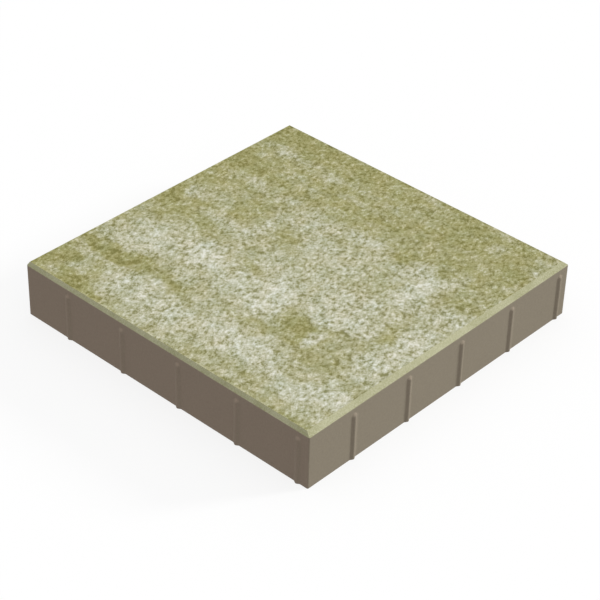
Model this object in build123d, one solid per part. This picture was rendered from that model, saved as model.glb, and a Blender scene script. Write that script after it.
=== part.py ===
"""Square two-layer concrete paving slab with a bevelled facing and spacer nibs on its sides.

Millimetres, +Z up, origin at the middle of the underside. A plain backing layer carries a thin
coloured facing layer, whose sides slope in as a bevel. The stamp that pressed it sat a little off
centre, so the bevel is narrower on two sides. Nibs with sloping flanks and a rounded crown keep the
joint open when slabs are laid side by side. Each row of nibs is set off towards one corner and turns
with the sides, so the nibs of two neighbours interleave and each touches a plain stretch of the next
slab.
"""
import os
from math import asin, atan2, cos, degrees, hypot, sin

from build123d import *

# Driving dimensions
side = 600.0             # from side face to side face, without the nibs
thickness = 100.0        # underside to walking surface
facing_thickness = 7.0   # depth of the coloured facing, which the bevel takes up whole
bevel_width = 6.0        # how far the bevel runs in from a side face in plan, on average
stamp_off_x = 2.0        # how far the pressed top sits off centre, towards -X
stamp_off_y = 1.8        # and towards -Y
corner_radius = 2.0      # rounding of the four upright corners
nibs_per_side = 5
nib_start = 95.0         # corner that a row starts from, to its first nib's middle line
nib_end = 21.0           # last nib's middle line to the corner that its row runs towards
nib_width = 11.5         # across a nib where it leaves the side face
nib_proud = 3.0          # how far a nib stands out, which is the joint it keeps open
nib_crown = 3.5          # rounding of a nib's crown, between its two sloping flanks
nib_stop = 9.0           # from the top of a nib's sloped end up to the facing layer

# Sizes that follow from them
sides = 4
backing_thickness = thickness - facing_thickness
rim_side = side - 2 * bevel_width
nib_pitch = (side - nib_start - nib_end) / (nibs_per_side - 1)
nib_half = nib_width / 2
nib_top = backing_thickness - nib_stop
nib_root = nib_proud     # how deep a nib is sunk into the block that it is moulded with
crown_middle = nib_proud - nib_crown
nib_flank = atan2(crown_middle, nib_half) + asin(nib_crown / hypot(nib_half, crown_middle))


def slab_block(height):
    """A square block with the slab's rounded upright corners, standing on the origin."""
    return extrude(RectangleRounded(side, side, corner_radius), amount=height)


def half_nib_section():
    """Half of a nib in plan, out along +Y: a rounded crown, a flank that leaves it at a tangent, a root."""
    crown = (0, nib_proud)
    flank_top = (nib_crown * sin(nib_flank), crown_middle + nib_crown * cos(nib_flank))
    flank_and_root = Polyline(crown, (0, -nib_root), (nib_half, -nib_root), (nib_half, 0), flank_top)
    rounding = CenterArc((0, crown_middle), nib_crown, 90 - degrees(nib_flank), degrees(nib_flank))
    return make_face(flank_and_root + rounding)


def spacer_nib():
    """An upright rib of the nib's section, whose upper end slopes back to the wall at 45 degrees."""
    half = half_nib_section()
    rib = extrude(half + mirror(half, Plane.YZ), amount=nib_top)
    end_slope = Plane(origin=(0, 0, nib_top), z_dir=(0, 1, 1))
    return split(rib, bisect_by=end_slope, keep=Keep.BOTTOM)


def backing_layer():
    """The lower layer with a row of spacer nibs on each side, all moulded in one piece."""
    nib = spacer_nib()
    places = [side / 2 - nib_start - step * nib_pitch for step in range(nibs_per_side)]
    row = [Pos(along, side / 2, 0) * nib for along in places]
    nibs = [Rot(0, 0, 360 / sides * turn) * each for turn in range(sides) for each in row]
    return slab_block(backing_thickness) + nibs


def facing_layer():
    """The coloured top layer: a low, slightly leaning frustum, trimmed to the rounded upright corners."""
    rim = Pos(-stamp_off_x, -stamp_off_y, facing_thickness) * Rectangle(rim_side, rim_side)
    bevelled = loft([Rectangle(side, side), rim], ruled=True)
    return Pos(0, 0, backing_thickness) * (bevelled & slab_block(facing_thickness))


os.makedirs("parts", exist_ok=True)
for node, shape in (("backing_layer", backing_layer()), ("facing_layer", facing_layer())):
    export_step(shape, f"parts/{node}.step")
    print(node, "volume in litres:", round(shape.volume / 1e6, 3))
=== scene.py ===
# %% [markdown]
# # A two-layer paving slab
# This lesson dresses a square concrete paving slab: an olive facing with a stone-like relief on
# top, a plain bevel round it, and a brown-grey backing with spacer nibs down its sides. The solid
# model gives the sizes, and Blender adds what a pressed mould and two kinds of concrete leave on
# the surfaces.

# %% Load the solid model
import math

import bpy
import numpy as np
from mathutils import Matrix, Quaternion, Vector, noise


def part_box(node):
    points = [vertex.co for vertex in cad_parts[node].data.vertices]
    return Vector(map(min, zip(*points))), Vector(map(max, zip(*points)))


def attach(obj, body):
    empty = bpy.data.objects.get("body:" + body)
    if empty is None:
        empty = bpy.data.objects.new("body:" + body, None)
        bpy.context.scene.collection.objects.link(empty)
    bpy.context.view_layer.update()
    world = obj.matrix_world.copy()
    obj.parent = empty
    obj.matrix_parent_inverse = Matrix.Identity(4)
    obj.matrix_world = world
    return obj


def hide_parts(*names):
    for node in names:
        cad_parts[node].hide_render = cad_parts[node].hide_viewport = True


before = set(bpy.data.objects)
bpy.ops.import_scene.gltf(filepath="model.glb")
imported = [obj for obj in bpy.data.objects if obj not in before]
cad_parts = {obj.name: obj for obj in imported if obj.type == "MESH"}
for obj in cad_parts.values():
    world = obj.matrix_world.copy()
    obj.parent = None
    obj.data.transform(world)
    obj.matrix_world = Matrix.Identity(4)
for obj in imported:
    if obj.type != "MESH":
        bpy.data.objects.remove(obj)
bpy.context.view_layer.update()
MM = 0.001

# %% [markdown]
# ## Sizes taken from the solids
# The facing's box gives the side of the slab and the height of the seam between the two concretes.
# Its top corners give the rim where the bevel starts, which is not quite in the middle, because the
# stamp that pressed the top sat a little off centre. The nibs are all that stands outside that box
# in plan, so the two boxes together say how far they stand out. A size that is read cannot drift
# away from the solids, which is why as few as possible are typed in.

# %% Read the sizes
HEIGHT_SLACK = 0.01 * MM

facing_low, facing_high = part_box("facing_layer")
backing_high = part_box("backing_layer")[1]
half_side = facing_high.x
seam = facing_low.z
top = facing_high.z
nib_proud = backing_high.x - half_side

facing_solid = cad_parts["facing_layer"].data
rim = np.array([v.co.xy for v in facing_solid.vertices if v.co.z > top - HEIGHT_SLACK])
rim_middle = (rim.min(axis=0) + rim.max(axis=0)) / 2
half_rim = rim[:, 0].max() - rim_middle[0]
print("side", 2 * half_side, "rim", round(2 * half_rim, 4), "seam", seam, "top", top)
print("rim off centre in mm:", (rim_middle / MM).round(2), "nibs out in mm:", round(nib_proud / MM, 2))

# %% [markdown]
# ## The plan outline
# Both layers share one outline: a square with rounded upright corners. Each ring of the mesh is
# drawn as a sharp square first, and points that fall outside a corner's arc are pulled straight in
# to it. A bevel modifier could round the corners too, but this keeps the count of points the same
# on every ring, so that rings can be joined face by face.

# %% Square rings with rounded corners
CORNER_RADIUS = 2 * MM


def square_ring(stations, half):
    """Points round a square, walking each side from its first corner through the stations, -1 to 1."""
    along = np.asarray(stations) * half
    across = np.full_like(along, half)
    sides = [(along, -across), (across, along), (-along, across), (-across, -along)]
    return np.concatenate([np.stack(pair, axis=1) for pair in sides])


def round_corners(points):
    """Pulls points that stand outside the slab's rounded corners in to the arc."""
    straight = half_side - CORNER_RADIUS
    centre = np.sign(points) * straight
    reach = points - centre
    length = np.linalg.norm(reach, axis=1)
    outside = np.all(np.abs(points) > straight, axis=1) & (length > CORNER_RADIUS)
    pull = np.where(outside, CORNER_RADIUS / np.maximum(length, MM), 1.0)
    return np.where(outside[:, None], centre + reach * pull[:, None], points)


def bridge(lower, upper):
    """Quads between two closed rings, given the index of each of their points."""
    lower, upper = np.asarray(lower), np.asarray(upper)
    return np.stack([lower, np.roll(lower, -1), np.roll(upper, -1), upper], axis=1).tolist()


print("corner radius in mm:", CORNER_RADIUS / MM)

# %% [markdown]
# ## Pale drifts in the facing mix
# The facing shows two mixes, an olive one and a paler one: cloudy drifts of the pale mix lie in the
# olive, drawn out a little along X. A noise texture alone would put them anywhere. A list of soft
# ovals, given one by one, puts the clouds where they belong, and noise frays their edges and adds the
# thin streaks.

# %% Place the drifts
# Middle x, middle y, half length and half width in mm, then strength: above 0 pale, below 0 olive
DRIFTS = [
    (0, -110, 330, 205, 0.30), (-212, -118, 50, 42, 0.13), (-116, -86, 28, 24, 0.46),
    (-35, -117, 36, 28, 0.17), (35, -95, 26, 38, 0.40), (187, 66, 26, 44, 0.62),
    (142, 104, 24, 26, 0.40), (210, 120, 12, 24, 0.30), (145, -45, 55, 50, 0.22),
    (-40, 80, 46, 34, 0.22), (50, 68, 50, 52, 0.11), (30, 112, 95, 14, 0.16),
    (270, -52, 30, 46, 0.45), (272, -130, 32, 34, 0.25), (268, 48, 34, 38, 0.25),
    (225, -240, 45, 24, 0.33), (280, -228, 24, 26, 0.30), (268, -272, 36, 22, 0.06),
    (135, -225, 42, 26, 0.22), (50, -213, 46, 32, 0.25), (-50, -255, 52, 36, 0.22),
    (-130, -235, 45, 28, 0.25), (287, 285, 18, 22, 0.18), (200, 240, 14, 18, 0.25),
    (289, 230, 14, 24, 0.34), (292, 180, 10, 14, 0.18), (-240, 225, 38, 16, 0.20),
    (-140, 222, 130, 9, 0.16), (-90, 178, 90, 6, 0.13), (-170, 112, 110, 9, 0.15),
    (-258, 30, 16, 18, 0.30), (150, -134, 15, 20, 0.60), (-112, 30, 14, 65, 0.10),
    (122, -132, 42, 30, -0.50), (195, -145, 44, 42, -0.14), (223, -58, 16, 40, -0.20),
    (-228, -182, 60, 14, -0.58), (-120, -178, 75, 18, -0.26), (-285, -262, 20, 40, -0.22),
    (-212, -278, 34, 20, -0.30), (-286, 2, 22, 20, -0.38), (-212, -38, 75, 26, -0.28),
    (-62, 32, 34, 28, -0.25), (-75, -42, 26, 24, -0.15), (-158, 48, 34, 30, -0.20),
    (-40, -68, 22, 18, -0.20), (115, 130, 14, 24, -0.12), (-150, 268, 160, 20, -0.12),
    (-180, 150, 120, 13, -0.08), (-290, 176, 16, 20, -0.30), (-262, -246, 12, 12, -0.35),
    (-252, -214, 24, 9, 0.06), (-238, -246, 12, 10, 0.16), (-270, -286, 14, 8, 0.20),
    (-168, -272, 22, 10, 0.16), (-160, -294, 14, 8, -0.30), (214, 24, 16, 22, 0.25),
    (182, -80, 22, 20, 0.22), (25, -262, 20, 16, 0.18), (58, -172, 56, 14, -0.26),
    (-216, -240, 26, 18, -0.20), (-285, 285, 60, 40, -0.05), (-290, 90, 22, 70, -0.10),
    (-236, 4, 42, 14, -0.20), (-292, -95, 16, 22, -0.15),
]
print("drifts placed by hand:", len(DRIFTS))

# %% Share of the pale mix
PALE_BASE = 0.18
PALE_GAIN = 2.0
PALE_CUT = 0.27
DEEP_CORE, PALE_CORE = -0.4, 1.6
OVAL_FADE = 1.5
LAYER_SHIFT = 37.3
# Wavelength and reach in mm, then the layers of hills that move a point along X and along Y
FRAYS = [(45, 20, (1, 2)), (15, 9, (3, 4))]
# Strength, wavelength in mm, layer of hills and stretch along X
STREAKS = [(0.12, 30, 9, 3.5), (0.12, 13, 11, 5), (0.10, 16, 10, 1)]


def hills(points, wavelength_mm, layer, stretch=1.0):
    """Smooth random hills, about -1 to 1, one every wavelength; each layer is a different set."""
    step = wavelength_mm * MM
    shift = LAYER_SHIFT * layer
    places = points / (step * stretch, step) + (shift, -shift)
    return np.array([noise.noise((x, y, shift)) for x, y in places])


def frayed(points):
    """The points, moved a little to and fro, so that an oval found by them loses its clean edge."""
    moved = points
    for wavelength_mm, reach_mm, layers in FRAYS:
        sway = np.stack([hills(points, wavelength_mm, layer) for layer in layers], axis=1)
        moved = moved + sway * reach_mm * MM
    return moved


def drift_at(points):
    """Share of the pale mix: 0 is olive, 1 is pale, and past either end is the dense core of a cloud."""
    share = np.full(len(points), PALE_BASE)
    for strength, wavelength_mm, layer, stretch in STREAKS:
        share += strength * hills(points, wavelength_mm, layer, stretch)
    moved = frayed(points) / MM
    for x, y, length, width, strength in DRIFTS:
        reach = np.linalg.norm((moved - (x, y)) / (length, width), axis=1)
        share += strength * np.clip(OVAL_FADE - reach, 0, 1)
    return np.clip(PALE_GAIN * share - PALE_CUT, DEEP_CORE, PALE_CORE)


print("pale share in the middle of the slab:", drift_at(np.zeros((1, 2))).round(2))

# %% [markdown]
# ## The stone-like walking surface
# The stamp that presses the top leaves a fine relief like a cut stone's: crumbly grains a few
# millimetres across, small pits between them and a gentle unevenness. A bump map would look flat
# along the edges, so the relief is real: a fine grid whose points sink below the top plane. It only
# goes down, because the highest grains are the slab's stated height.

# %% Shape the relief
GRID_CELLS = 296
RIM_FADE = 2.5 * MM
RIM_LEFT = 0.3
DEEPEST = 1.8
UNEVEN, GRAIN, PIT = 0.25, 0.42, 1.1
SMALL_GRAINS = 0.7
PIT_EDGE = 0.15


def relief_at(points):
    """How far each point of the walking surface sinks below the top plane, in mm."""
    uneven = 0.5 + 0.5 * hills(points, wavelength_mm=70, layer=5)
    small = SMALL_GRAINS * hills(points, wavelength_mm=4.5, layer=7)
    grains = hills(points, wavelength_mm=8, layer=6) + small
    pits = np.clip(hills(points, wavelength_mm=10, layer=8) - PIT_EDGE, 0, 1)
    return np.clip(UNEVEN * uneven + GRAIN - GRAIN * grains + PIT * pits, 0, DEEPEST)


def rim_share(points):
    """How much of the relief is left near the rim, where the stamp's edge pressed flatter."""
    to_rim = half_rim - np.max(np.abs(points - rim_middle), axis=1)
    return RIM_LEFT + (1 - RIM_LEFT) * np.clip(to_rim / RIM_FADE, 0, 1)


ticks = np.linspace(-half_rim, half_rim, GRID_CELLS + 1)
walk_points = np.stack(np.meshgrid(ticks, ticks), axis=2).reshape(-1, 2) + rim_middle
walk_sink = relief_at(walk_points)
print("relief in mm: mean", round(walk_sink.mean(), 2), "deepest", round(walk_sink.max(), 2))

# %% [markdown]
# ## The facing as one closed mesh
# The walking surface, the bevel and a flat underside are joined into one skin. The bevel's rings
# have as many points as the grid's border, so they meet it without a gap. They run from the rim,
# which is off centre, to the side of the slab, which is not, so the bevel comes out wider on two
# sides by itself.

# %% Join grid, bevel and underside
BEVEL_ROWS = 4


def border_index(cells):
    """Indices of a square grid's border points, in the order that square_ring walks them."""
    row = np.arange(cells)
    width = cells + 1
    front, right = row, cells + row * width
    back, left = cells * width + cells - row, (cells - row) * width
    return np.concatenate([front, right, back, left])


def facing_mesh():
    """Points and faces of the facing, with how many of the faces are walking surface."""
    width = GRID_CELLS + 1
    points = [np.column_stack([walk_points, top - walk_sink * rim_share(walk_points) * MM])]
    cell = (np.arange(GRID_CELLS)[:, None] * width + np.arange(GRID_CELLS)).ravel()
    faces = np.stack([cell, cell + 1, cell + 1 + width, cell + width], axis=1).tolist()
    walking = len(faces)
    stations = np.linspace(-1, 1, width)[:-1]
    rim_ring = square_ring(stations, half_rim) + rim_middle
    side_ring = square_ring(stations, half_side)
    upper = border_index(GRID_CELLS)
    for row in range(BEVEL_ROWS):
        share = (row + 1) / BEVEL_ROWS
        ring = round_corners(rim_ring + share * (side_ring - rim_ring))
        points.append(np.column_stack([ring, np.full(len(ring), top - share * (top - seam))]))
        lower = width * width + row * len(ring) + np.arange(len(ring))
        faces += bridge(lower, upper)
        upper = lower
    faces.append(upper[::-1].tolist())
    return np.concatenate(points), faces, walking


facing_points, facing_faces, walking_count = facing_mesh()
print("walking faces:", walking_count, "of", len(facing_faces))

# %% [markdown]
# ## The backing and its spacer nibs
# The sides are flat where the mould wall was, with upright nibs that keep the joint to the next slab
# open. A nib has two sloping flanks and a rounded crown, and its upper end is rounded off, as a round
# cutter would leave it in a mould wall. One side is a strip of columns, and a nib is where its columns
# move out. A boolean of separate ribs would do it too, but moved columns give one clean skin. So the
# columns are packed closely at the nibs and at the corners, and spread out between them.

# %% Columns along one side
NIBS_PER_SIDE = 5
NIB_START = 95 * MM
NIB_END = 21 * MM
NIB_HALF = 5.75 * MM
NIB_COLUMNS, CORNER_COLUMNS, PLAIN_COLUMNS = 21, 5, 161
CLEAR_OF_NIB, CLEAR_OF_CORNER = 1.5 * MM, 1 * MM

nib_places = np.linspace(NIB_START - half_side, half_side - NIB_END, NIBS_PER_SIDE)


def wall_stations():
    """Places along one side, from corner to corner: close together at nibs and corners."""
    at_nibs = (nib_places[:, None] + np.linspace(-1, 1, NIB_COLUMNS) * NIB_HALF).ravel()
    corner = half_side - CORNER_RADIUS * np.linspace(0, 1, CORNER_COLUMNS)
    plain = np.linspace(-half_side, half_side, PLAIN_COLUMNS)
    clear = np.min(np.abs(plain[:, None] - nib_places), axis=1) > NIB_HALF + CLEAR_OF_NIB
    inside = np.abs(plain) < half_side - CORNER_RADIUS - CLEAR_OF_CORNER
    return np.sort(np.concatenate([at_nibs, -corner, corner[1:], plain[clear & inside]]))


print("nibs along a side in mm:", (nib_places / MM).round(1), "columns:", len(wall_stations()))

# %% Section and end of a nib
NIB_CROWN = 3.5 * MM
NIB_STOP = 9 * MM

nib_top = seam - NIB_STOP
end_start = nib_top - NIB_HALF
crown_middle = nib_proud - NIB_CROWN
crown_turn = math.asin(NIB_CROWN / math.hypot(NIB_HALF, crown_middle))
nib_flank = math.atan2(crown_middle, NIB_HALF) + crown_turn


def nib_reach(along, height):
    """How far the nibs stand out of a side at each place and height; the section turns round the end."""
    across = np.min(np.abs(along[:, None] - nib_places), axis=1)
    away = np.hypot(across, max(height - end_start, 0))
    crown = crown_middle + np.sqrt(np.maximum(NIB_CROWN**2 - away**2, 0))
    flank = np.maximum(NIB_HALF - away, 0) * math.tan(nib_flank)
    return np.where(away < NIB_CROWN * math.sin(nib_flank), crown, flank)


print("nib flanks slope by", round(math.degrees(nib_flank), 1), "degrees")
print("nibs end", round(nib_top / MM, 1), "mm above the underside")

# %% Join the sides, underside and top
FOOT_RINGS, END_RINGS, LIP_RINGS = 26, 16, 4
RING_GAP = 2 * MM
OUTWARD = [[0, -1], [1, 0], [0, 1], [-1, 0]]


def backing_mesh():
    """Points and faces of the backing: rings of wall points, then a flat underside and top."""
    stations = wall_stations()
    along = np.tile(stations, len(OUTWARD))
    outward = np.repeat(OUTWARD, len(stations), axis=0)
    outline = round_corners(square_ring(stations / half_side, half_side))
    heights = np.concatenate([
        np.linspace(0, end_start - RING_GAP, FOOT_RINGS),
        np.linspace(end_start, nib_top, END_RINGS),
        np.linspace(nib_top + RING_GAP, seam, LIP_RINGS),
    ])
    count = len(outline)
    points, faces = [], []
    for level, height in enumerate(heights):
        ring = outline + outward * nib_reach(along, height)[:, None]
        points.append(np.column_stack([ring, np.full(count, height)]))
        if level:
            faces += bridge((level - 1) * count + np.arange(count), level * count + np.arange(count))
    faces.append(list(range(count))[::-1])
    faces.append([(len(heights) - 1) * count + step for step in range(count)])
    return np.concatenate(points), faces


backing_points, backing_faces = backing_mesh()
print("backing rings hold", len(backing_points), "points")

# %% [markdown]
# ## Shader maths in Python
# A finish is easier to read as sums than as a picture of wires. This small class wraps one socket.
# Plus, minus and times on it add Math nodes, and node() adds any other kind.

# %% A socket that can be used in sums
# A Mix node's sockets for colours: the share, the two colours and the result
MIX_SHARE, MIX_FIRST, MIX_SECOND, MIX_RESULT = 0, 6, 7, 2


class Sock:
    """One output of a node tree, which can be used in Python sums."""

    def __init__(self, tree, socket=None):
        self.tree = tree
        self.socket = socket

    def node(self, kind, settings=None, inputs=None, output=0):
        """Adds a node of this kind, sets it up, fills or links its sockets and gives one output."""
        made = self.tree.nodes.new(kind)
        for name, value in (settings or {}).items():
            if name == "stops":
                ramp = made.color_ramp.elements
                while len(ramp) < len(value):
                    ramp.new(1.0)
                for stop, (place, colour) in zip(ramp, value):
                    stop.position = place
                    stop.color = (*colour, 1)
            else:
                setattr(made, name, value)
        for key, value in (inputs or {}).items():
            if isinstance(value, Sock):
                self.tree.links.new(value.socket, made.inputs[key])
            else:
                made.inputs[key].default_value = value
        return Sock(self.tree, made.outputs[output] if made.outputs else None)

    def maths(self, operation, first, second):
        """A Math node of this operation on two values."""
        return self.node("ShaderNodeMath", {"operation": operation}, {0: first, 1: second})

    def __add__(self, other):
        return self.maths("ADD", self, other)

    def __sub__(self, other):
        return self.maths("SUBTRACT", self, other)

    def __rsub__(self, other):
        return self.maths("SUBTRACT", other, self)

    def __mul__(self, other):
        return self.maths("MULTIPLY", self, other)

    __radd__ = __add__
    __rmul__ = __mul__

    def larger(self, other):
        """The larger of this value and another."""
        return self.maths("MAXIMUM", self, other)

    def ramp(self, *stops):
        """Turns this value into a colour, by stops of place and colour."""
        return self.node("ShaderNodeValToRGB", {"stops": stops}, {0: self})

    def tint(self, start, end):
        """Blends two colours, with this value as the share of the second."""
        ends = [colour if isinstance(colour, Sock) else (*colour, 1) for colour in (start, end)]
        settings = {"data_type": "RGBA", "clamp_factor": True}
        inputs = {MIX_SHARE: self, MIX_FIRST: ends[0], MIX_SECOND: ends[1]}
        return self.node("ShaderNodeMix", settings, inputs, output=MIX_RESULT)

    def times(self, colour):
        """This colour with each of its parts multiplied by a part of another."""
        settings = {"data_type": "RGBA", "blend_type": "MULTIPLY"}
        inputs = {MIX_SHARE: 1.0, MIX_FIRST: self, MIX_SECOND: (*colour, 1)}
        return self.node("ShaderNodeMix", settings, inputs, output=MIX_RESULT)

    def feed(self, shader, name):
        """Links this value to one of a shader's inputs."""
        self.tree.links.new(self.socket, shader.inputs[name])


print("a Sock can add, subtract and multiply")

# %% [markdown]
# ## Concrete grain
# Every finish here is matt concrete with grains of several sizes, so they share a few helpers: one
# starts a material, one lays down spots of a given size in the slab's own space, one reads a number
# that the mesh carries, and one bumps the surface. The crumbs are slightly longer one way, so the
# spots are stretched along the slab's sides and then along a diagonal.

# %% Start a finish and speckle it
MIDDLE = 0.5
CRUMB_TURN = -math.radians(42)
CRUMB_SPREAD = (1.2, 0.95, 1)
CRUMB_STRETCH = (1.09, 0.92, 1)


def start_finish(name, roughness, specular):
    """A new material: its Principled shader, and an empty Sock to add nodes from."""
    finish = bpy.data.materials.new(name)
    finish.use_nodes = True
    shader = finish.node_tree.nodes["Principled BSDF"]
    shader.inputs["Roughness"].default_value = roughness
    shader.inputs["Specular IOR Level"].default_value = specular
    return finish, shader, Sock(finish.node_tree)


def speckle(sock, size_mm, detail=2.0, roughness=0.5):
    """Noise with spots of about this size, from -0.5 to 0.5, in the slab's own space."""
    place = sock.node("ShaderNodeTexCoord", output="Object")
    turned = {"Vector": place, "Rotation": (0, 0, CRUMB_TURN), "Scale": CRUMB_SPREAD}
    place = sock.node("ShaderNodeMapping", None, turned)
    place = sock.node("ShaderNodeVectorMath", {"operation": "MULTIPLY"}, {0: place, 1: CRUMB_STRETCH})
    values = {"Vector": place, "Scale": 1 / (size_mm * MM), "Detail": detail, "Roughness": roughness}
    return sock.node("ShaderNodeTexNoise", {"noise_dimensions": "3D"}, values) - MIDDLE


def carried(sock, label):
    """A number that the mesh carries at each point."""
    return sock.node("ShaderNodeAttribute", {"attribute_name": label}, output="Fac")


def roughen(shader, height, strength, distance_mm):
    """Bumps a surface by a height, for grain too fine for the mesh."""
    values = {"Strength": strength, "Distance": distance_mm * MM, "Height": height}
    height.node("ShaderNodeBump", None, values).feed(shader, "Normal")


print("spots are longer along one diagonal by", round(CRUMB_STRETCH[0] / CRUMB_STRETCH[1], 2))

# %% [markdown]
# ## Olive facing concrete
# The walking surface mixes olive and pale crumbs. Each mix has its own ramp, from the dark of its
# pits to the light of its crumbs, and the drift worked out above says how much of each mix lies at a
# place. One tone runs both ramps: painted shade from the relief (the deeper it sinks, the darker the
# colour, so grains are pale and pits are dark), three sizes of speckle, a lift in the core of a pale
# cloud and a drop in the core of an olive one. Last, a slow change of warmth goes over it all.

# %% Finish of the walking surface
OLIVE_RAMP = [
    (0.0, (0.205, 0.195, 0.058)), (0.25, (0.297, 0.285, 0.110)), (0.5, (0.347, 0.337, 0.147)),
    (0.75, (0.417, 0.406, 0.208)), (1.0, (0.550, 0.542, 0.350)),
]
PALE_RAMP = [
    (0.0, (0.245, 0.243, 0.108)), (0.25, (0.418, 0.417, 0.265)), (0.5, (0.530, 0.530, 0.390)),
    (0.75, (0.615, 0.615, 0.488)), (1.0, (0.750, 0.756, 0.668)),
]
COOLER, WARMER = (0.974, 1.0, 1.03), (1.044, 1.0, 0.965)
WARMTH_SWING = 2.2
CLOUDS, FLECKS, CRUMBS = 0.7, 2.5, 1.35
PIT_PAINTED_SHADE, USUAL_SINK = 0.5, 0.5
PALE_LIFT, OLIVE_DROP = 0.4, 0.5


def walking_finish():
    """Olive and pale crumbs, mixed by the drift, with painted shade that darkens the relief's pits."""
    finish, shader, sock = start_finish("walking_face_concrete", roughness=0.88, specular=0.25)
    drift, sink = carried(sock, "drift"), carried(sock, "sink")
    clouds = speckle(sock, size_mm=20)
    flecks = speckle(sock, size_mm=6.5, detail=3.0, roughness=0.6)
    crumbs = speckle(sock, size_mm=2.6, roughness=0.6)
    speckles = CLOUDS * clouds + FLECKS * flecks + CRUMBS * crumbs
    cores = PALE_LIFT * (drift - 1.0).larger(0.0) - OLIVE_DROP * (0.0 - drift).larger(0.0)
    # Painted shade: the deeper the relief sinks at a point, the darker its colour.
    tone = MIDDLE + speckles - PIT_PAINTED_SHADE * (sink - USUAL_SINK) + cores
    mixed = drift.tint(tone.ramp(*OLIVE_RAMP), tone.ramp(*PALE_RAMP))
    warmth = MIDDLE + WARMTH_SWING * speckle(sock, size_mm=36, detail=3.0, roughness=0.6)
    warmth.tint(mixed.times(COOLER), mixed.times(WARMER)).feed(shader, "Base Color")
    roughen(shader, crumbs, strength=0.6, distance_mm=0.4)
    return finish


walking_concrete = walking_finish()
print("walking surface nodes:", len(walking_concrete.node_tree.nodes))

# %% [markdown]
# ## The bevel's finish
# The bevel is the same concrete, pressed by a plain slope of the stamp, so it is smooth and its mixes
# are smeared into one colour. It gets one blend of two colours, a little paler where a pale drift
# runs into it.

# %% Finish of the bevel
BEVEL_DARK, BEVEL_LIGHT = (0.367, 0.362, 0.194), (0.560, 0.550, 0.3685)
BEVEL_CLOUDS, BEVEL_GRAIN, BEVEL_DRIFT = 1.1, 2.0, 0.12
USUAL_DRIFT = 0.6


def bevel_finish():
    """Two greens in soft clouds and grain, paler by a little where the drift is pale."""
    finish, shader, sock = start_finish("bevel_concrete", roughness=0.85, specular=0.3)
    clouds = speckle(sock, size_mm=40, detail=3.0)
    grain = speckle(sock, size_mm=2.2, roughness=0.6)
    drift = carried(sock, "drift") - USUAL_DRIFT
    tone = MIDDLE + BEVEL_CLOUDS * clouds + BEVEL_GRAIN * grain + BEVEL_DRIFT * drift
    tone.tint(BEVEL_DARK, BEVEL_LIGHT).feed(shader, "Base Color")
    roughen(shader, grain, strength=0.4, distance_mm=0.3)
    return finish


bevel_concrete = bevel_finish()
print("bevel nodes:", len(bevel_concrete.node_tree.nodes))

# %% [markdown]
# ## Make the facing an object
# The mesh carries two numbers at each point for the finishes above: the pale share and how far the
# relief sinks. Both are worked out in Python, so that the colour, with its painted shade in the pits,
# follows the real relief, which a noise inside the material could not do. The facing takes the place
# of its plain solid.

# %% Build the facing
SHARP_EDGE = math.radians(38)


def new_piece(name, points, faces, finishes, finish_of_face):
    """A mesh object from points and faces, smooth apart from its sharp edges."""
    mesh = bpy.data.meshes.new(name)
    mesh.from_pydata(np.asarray(points).tolist(), [], faces)
    for finish in finishes:
        mesh.materials.append(finish)
    mesh.polygons.foreach_set("material_index", finish_of_face)
    mesh.shade_smooth()
    mesh.set_sharp_from_angle(angle=SHARP_EDGE)
    piece = bpy.data.objects.new(name, mesh)
    bpy.context.scene.collection.objects.link(piece)
    print(name, "has", len(mesh.vertices), "points and", sum(len(f) - 2 for f in faces), "triangles")
    return piece


on_bevel = (np.arange(len(facing_faces)) >= walking_count).astype(int)
facing_finishes = [walking_concrete, bevel_concrete]
facing = new_piece("facing_relief", facing_points, facing_faces, facing_finishes, on_bevel)
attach(facing, "root")
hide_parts("facing_layer")

# %% Lay down the drift and the sink
facing_drift = drift_at(facing_points[:, :2])
off_top = len(facing_points) - len(walk_sink)
facing_sink = np.pad(walk_sink, (0, off_top), constant_values=walk_sink.mean())
for label, values in (("drift", facing_drift), ("sink", facing_sink)):
    layer = facing.data.attributes.new(label, "FLOAT", "POINT")
    layer.data.foreach_set("value", values.astype(np.float32))
print("pale share: mean", round(facing_drift.mean(), 2), "spread", round(facing_drift.std(), 2))

# %% [markdown]
# ## Brown-grey backing concrete
# The sides were pressed against the mould wall, so they are smooth and even, with a fine grain, a faint
# cloudiness and a few small pores. A blend of two close browns does it, and the peaks of one more
# noise paint the pores' shade as small dark spots. Of the two sides in view, the one that faces along X
# is a shade greener.
# Why isn't known, so the tint goes by the way a side faces, and the hidden sides follow suit. The
# backing takes the place of its plain solid too.

# %% Build the backing
BACKING_DARK, BACKING_LIGHT = (0.319, 0.260, 0.198), (0.371, 0.304, 0.230)
REDDER, GREENER = (1.02, 0.978, 0.990), (0.965, 1.010, 0.988)
BACKING_CLOUDS, BACKING_GRAIN = 0.3, 1.8
PORE_EDGE, PORE_PAINTED_SHADE = 0.2, 6.0


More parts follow.
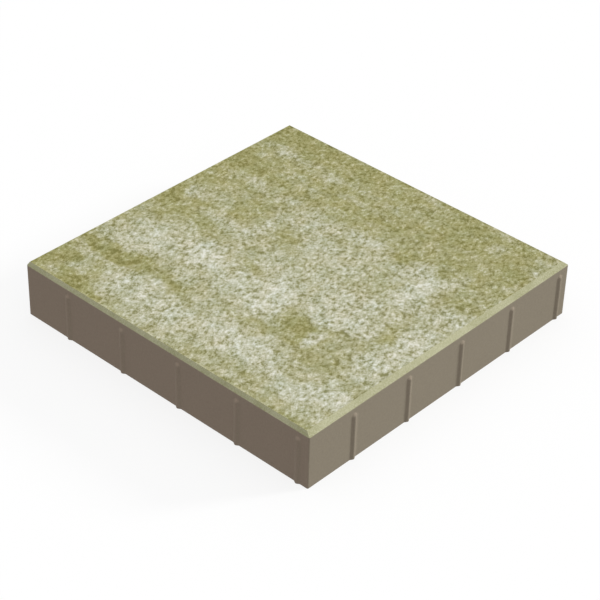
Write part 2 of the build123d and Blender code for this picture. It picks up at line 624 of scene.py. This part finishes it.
def backing_finish():
    """Two close browns with fine grain and painted shade for a few pore spots, tinted by the way a side
    faces.
    """
    finish, shader, sock = start_finish("backing_concrete", roughness=0.85, specular=0.3)
    clouds = speckle(sock, size_mm=60, detail=3.0)
    grain = speckle(sock, size_mm=3.0, detail=3.0, roughness=0.6)
    # Painted shade: the peaks of one noise darken small spots where pores would hold shadow.
    pore_shade = (speckle(sock, size_mm=6.0) - PORE_EDGE).larger(0.0)
    tone = MIDDLE + BACKING_CLOUDS * clouds + BACKING_GRAIN * grain - PORE_PAINTED_SHADE * pore_shade
    brown = tone.tint(BACKING_DARK, BACKING_LIGHT)
    way = sock.node("ShaderNodeTexCoord", output="Normal")
    along_x = sock.node("ShaderNodeSeparateXYZ", None, {0: way}, output="X")
    greener = along_x * along_x
    greener.tint(brown.times(REDDER), brown.times(GREENER)).feed(shader, "Base Color")
    roughen(shader, grain, strength=0.3, distance_mm=0.2)
    return finish


one_finish = np.zeros(len(backing_faces), dtype=int)
backing = new_piece("backing_body", backing_points, backing_faces, [backing_finish()], one_finish)
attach(backing, "root")
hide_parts("backing_layer")

# %% [markdown]
# ## A pale floor
# The slab lies on a plain floor that looks white and still takes its shadow. What the camera sees of
# the floor is mostly a white glow with some plain white paint in it, which shows the shadow. Light
# that bounces off it to the slab is set apart from that by the ray's kind, so that a whiter picture
# never puts more light on the slab.

# %% Lay the floor
FLOOR_REACH = 20.0
FLOOR_GAP = 0.2 * MM
SHOWN_WHITE = 0.8
BOUNCE = 0.24
WHITE = (1, 1, 1, 1)
WHITE_GLOW = 1.0


def seen_directly(sock):
    """1 for rays that show the surround itself: straight from the camera, mirrored or through glass."""
    camera_ray = sock.node("ShaderNodeLightPath", output="Is Camera Ray")
    mirrored = sock.node("ShaderNodeLightPath", output="Is Glossy Ray")
    through = sock.node("ShaderNodeLightPath", output="Is Transmission Ray")
    return camera_ray.larger(mirrored).larger(through)


def floor_finish():
    """Nearly white to the camera, with a trace of shadow, and a set bounce to everything else."""
    finish = bpy.data.materials.new("pale_floor")
    finish.use_nodes = True
    finish.node_tree.nodes.clear()
    sock = Sock(finish.node_tree)
    bounce = sock.node("ShaderNodeEmission", None, {"Color": WHITE, "Strength": BOUNCE})
    paint = sock.node("ShaderNodeBsdfDiffuse", None, {"Color": WHITE})
    glow = sock.node("ShaderNodeEmission", None, {"Color": WHITE, "Strength": WHITE_GLOW})
    shown = sock.node("ShaderNodeMixShader", None, {0: SHOWN_WHITE, 1: paint, 2: glow})
    mixed = sock.node("ShaderNodeMixShader", None, {0: seen_directly(sock), 1: bounce, 2: shown})
    sock.node("ShaderNodeOutputMaterial", None, {"Surface": mixed})
    return finish


floor_mesh = bpy.data.meshes.new("floor")
corners = square_ring([-1], FLOOR_REACH)
floor_mesh.from_pydata([(x, y, -FLOOR_GAP) for x, y in corners], [], [range(len(corners))])
floor_mesh.materials.append(floor_finish())
floor = bpy.data.objects.new("floor", floor_mesh)
bpy.context.scene.collection.objects.link(floor)
print("floor is", 2 * FLOOR_REACH, "m wide")

# %% [markdown]
# ## Soft studio light
# A dome of light that is brighter overhead lights the top fully, the bevels less and the sides least.
# A low, soft key from behind on the right then makes the right side lighter than the left one, and
# models the flanks of the nibs. Together they give a level surface a light of 1, at which a colour
# comes out as it is written. The camera sees the dome as plain white.
#
# The dome's overhead part fades with height down to the horizon, and two thirds of it reach a level
# surface. A sun of strength pi gives a surface that faces it a light of 1, so the key is written as
# one arrow: it points to the key, and its length is the light on a surface that faces the key.

# %% Dome
DOME = 0.25
OVERHEAD = 0.83
LEVEL_SHARE = 2 / 3

world = bpy.data.worlds.new("studio")
bpy.context.scene.world = world
world.use_nodes = True
world.node_tree.nodes.clear()
sky = Sock(world.node_tree)
low = sky.node("ShaderNodeBackground", None, {"Color": WHITE, "Strength": DOME})
overhead = sky.node("ShaderNodeBackground", None, {"Color": WHITE, "Strength": DOME + OVERHEAD})
shown_sky = sky.node("ShaderNodeBackground", None, {"Color": WHITE, "Strength": WHITE_GLOW})
towards = sky.node("ShaderNodeTexCoord", output="Generated")
height = sky.node("ShaderNodeSeparateXYZ", None, {0: towards}, output="Z").larger(0.0)
dome = sky.node("ShaderNodeMixShader", None, {0: height, 1: low, 2: overhead})
both = sky.node("ShaderNodeMixShader", None, {0: seen_directly(sky), 1: dome, 2: shown_sky})
sky.node("ShaderNodeOutputWorld", None, {"Surface": both})
dome_light = DOME + OVERHEAD * LEVEL_SHARE
print("dome's light on a level surface:", round(dome_light, 3))

# %% Key
KEY = Vector((0.271, 0.426, 0.2))
KEY_SOFTNESS = math.radians(12)

lamp = bpy.data.lights.new("key", "SUN")
lamp.energy = KEY.length * math.pi
lamp.angle = KEY_SOFTNESS
key = bpy.data.objects.new("key", lamp)
key.rotation_mode = "QUATERNION"
key.rotation_quaternion = KEY.to_track_quat("Z", "Y")
bpy.context.scene.collection.objects.link(key)
print("all light on a level surface:", round(dome_light + KEY.z, 3))

# %% [markdown]
# ## Camera
# The view is a catalogue one: corner on, from well above, through a long lens. The camera stands
# back from a point near the slab's middle, by a bearing, a height angle and a slight tilt.

# %% Set up the camera
AZIMUTH, ELEVATION, ROLL = (math.radians(d) for d in (42.1175, 35.6424, 1.6123))
AIM = Vector((0.02294, -0.02098, 0.048))
DISTANCE = 3.1101
LENS_MM = 119.235

lens = bpy.data.cameras.new("camera")
lens.lens = LENS_MM
camera = bpy.data.objects.new("camera", lens)
level = math.cos(ELEVATION)
back = Vector((math.sin(AZIMUTH) * level, -math.cos(AZIMUTH) * level, math.sin(ELEVATION)))
camera.location = AIM + back * DISTANCE
camera.rotation_mode = "QUATERNION"
camera.rotation_quaternion = (-back).to_track_quat("-Z", "Y") @ Quaternion((0, 0, 1), ROLL)
bpy.context.scene.collection.objects.link(camera)
bpy.context.scene.camera = camera
bpy.context.scene.view_settings.view_transform = "Standard"
print("camera stands at", tuple(round(c, 3) for c in camera.location))
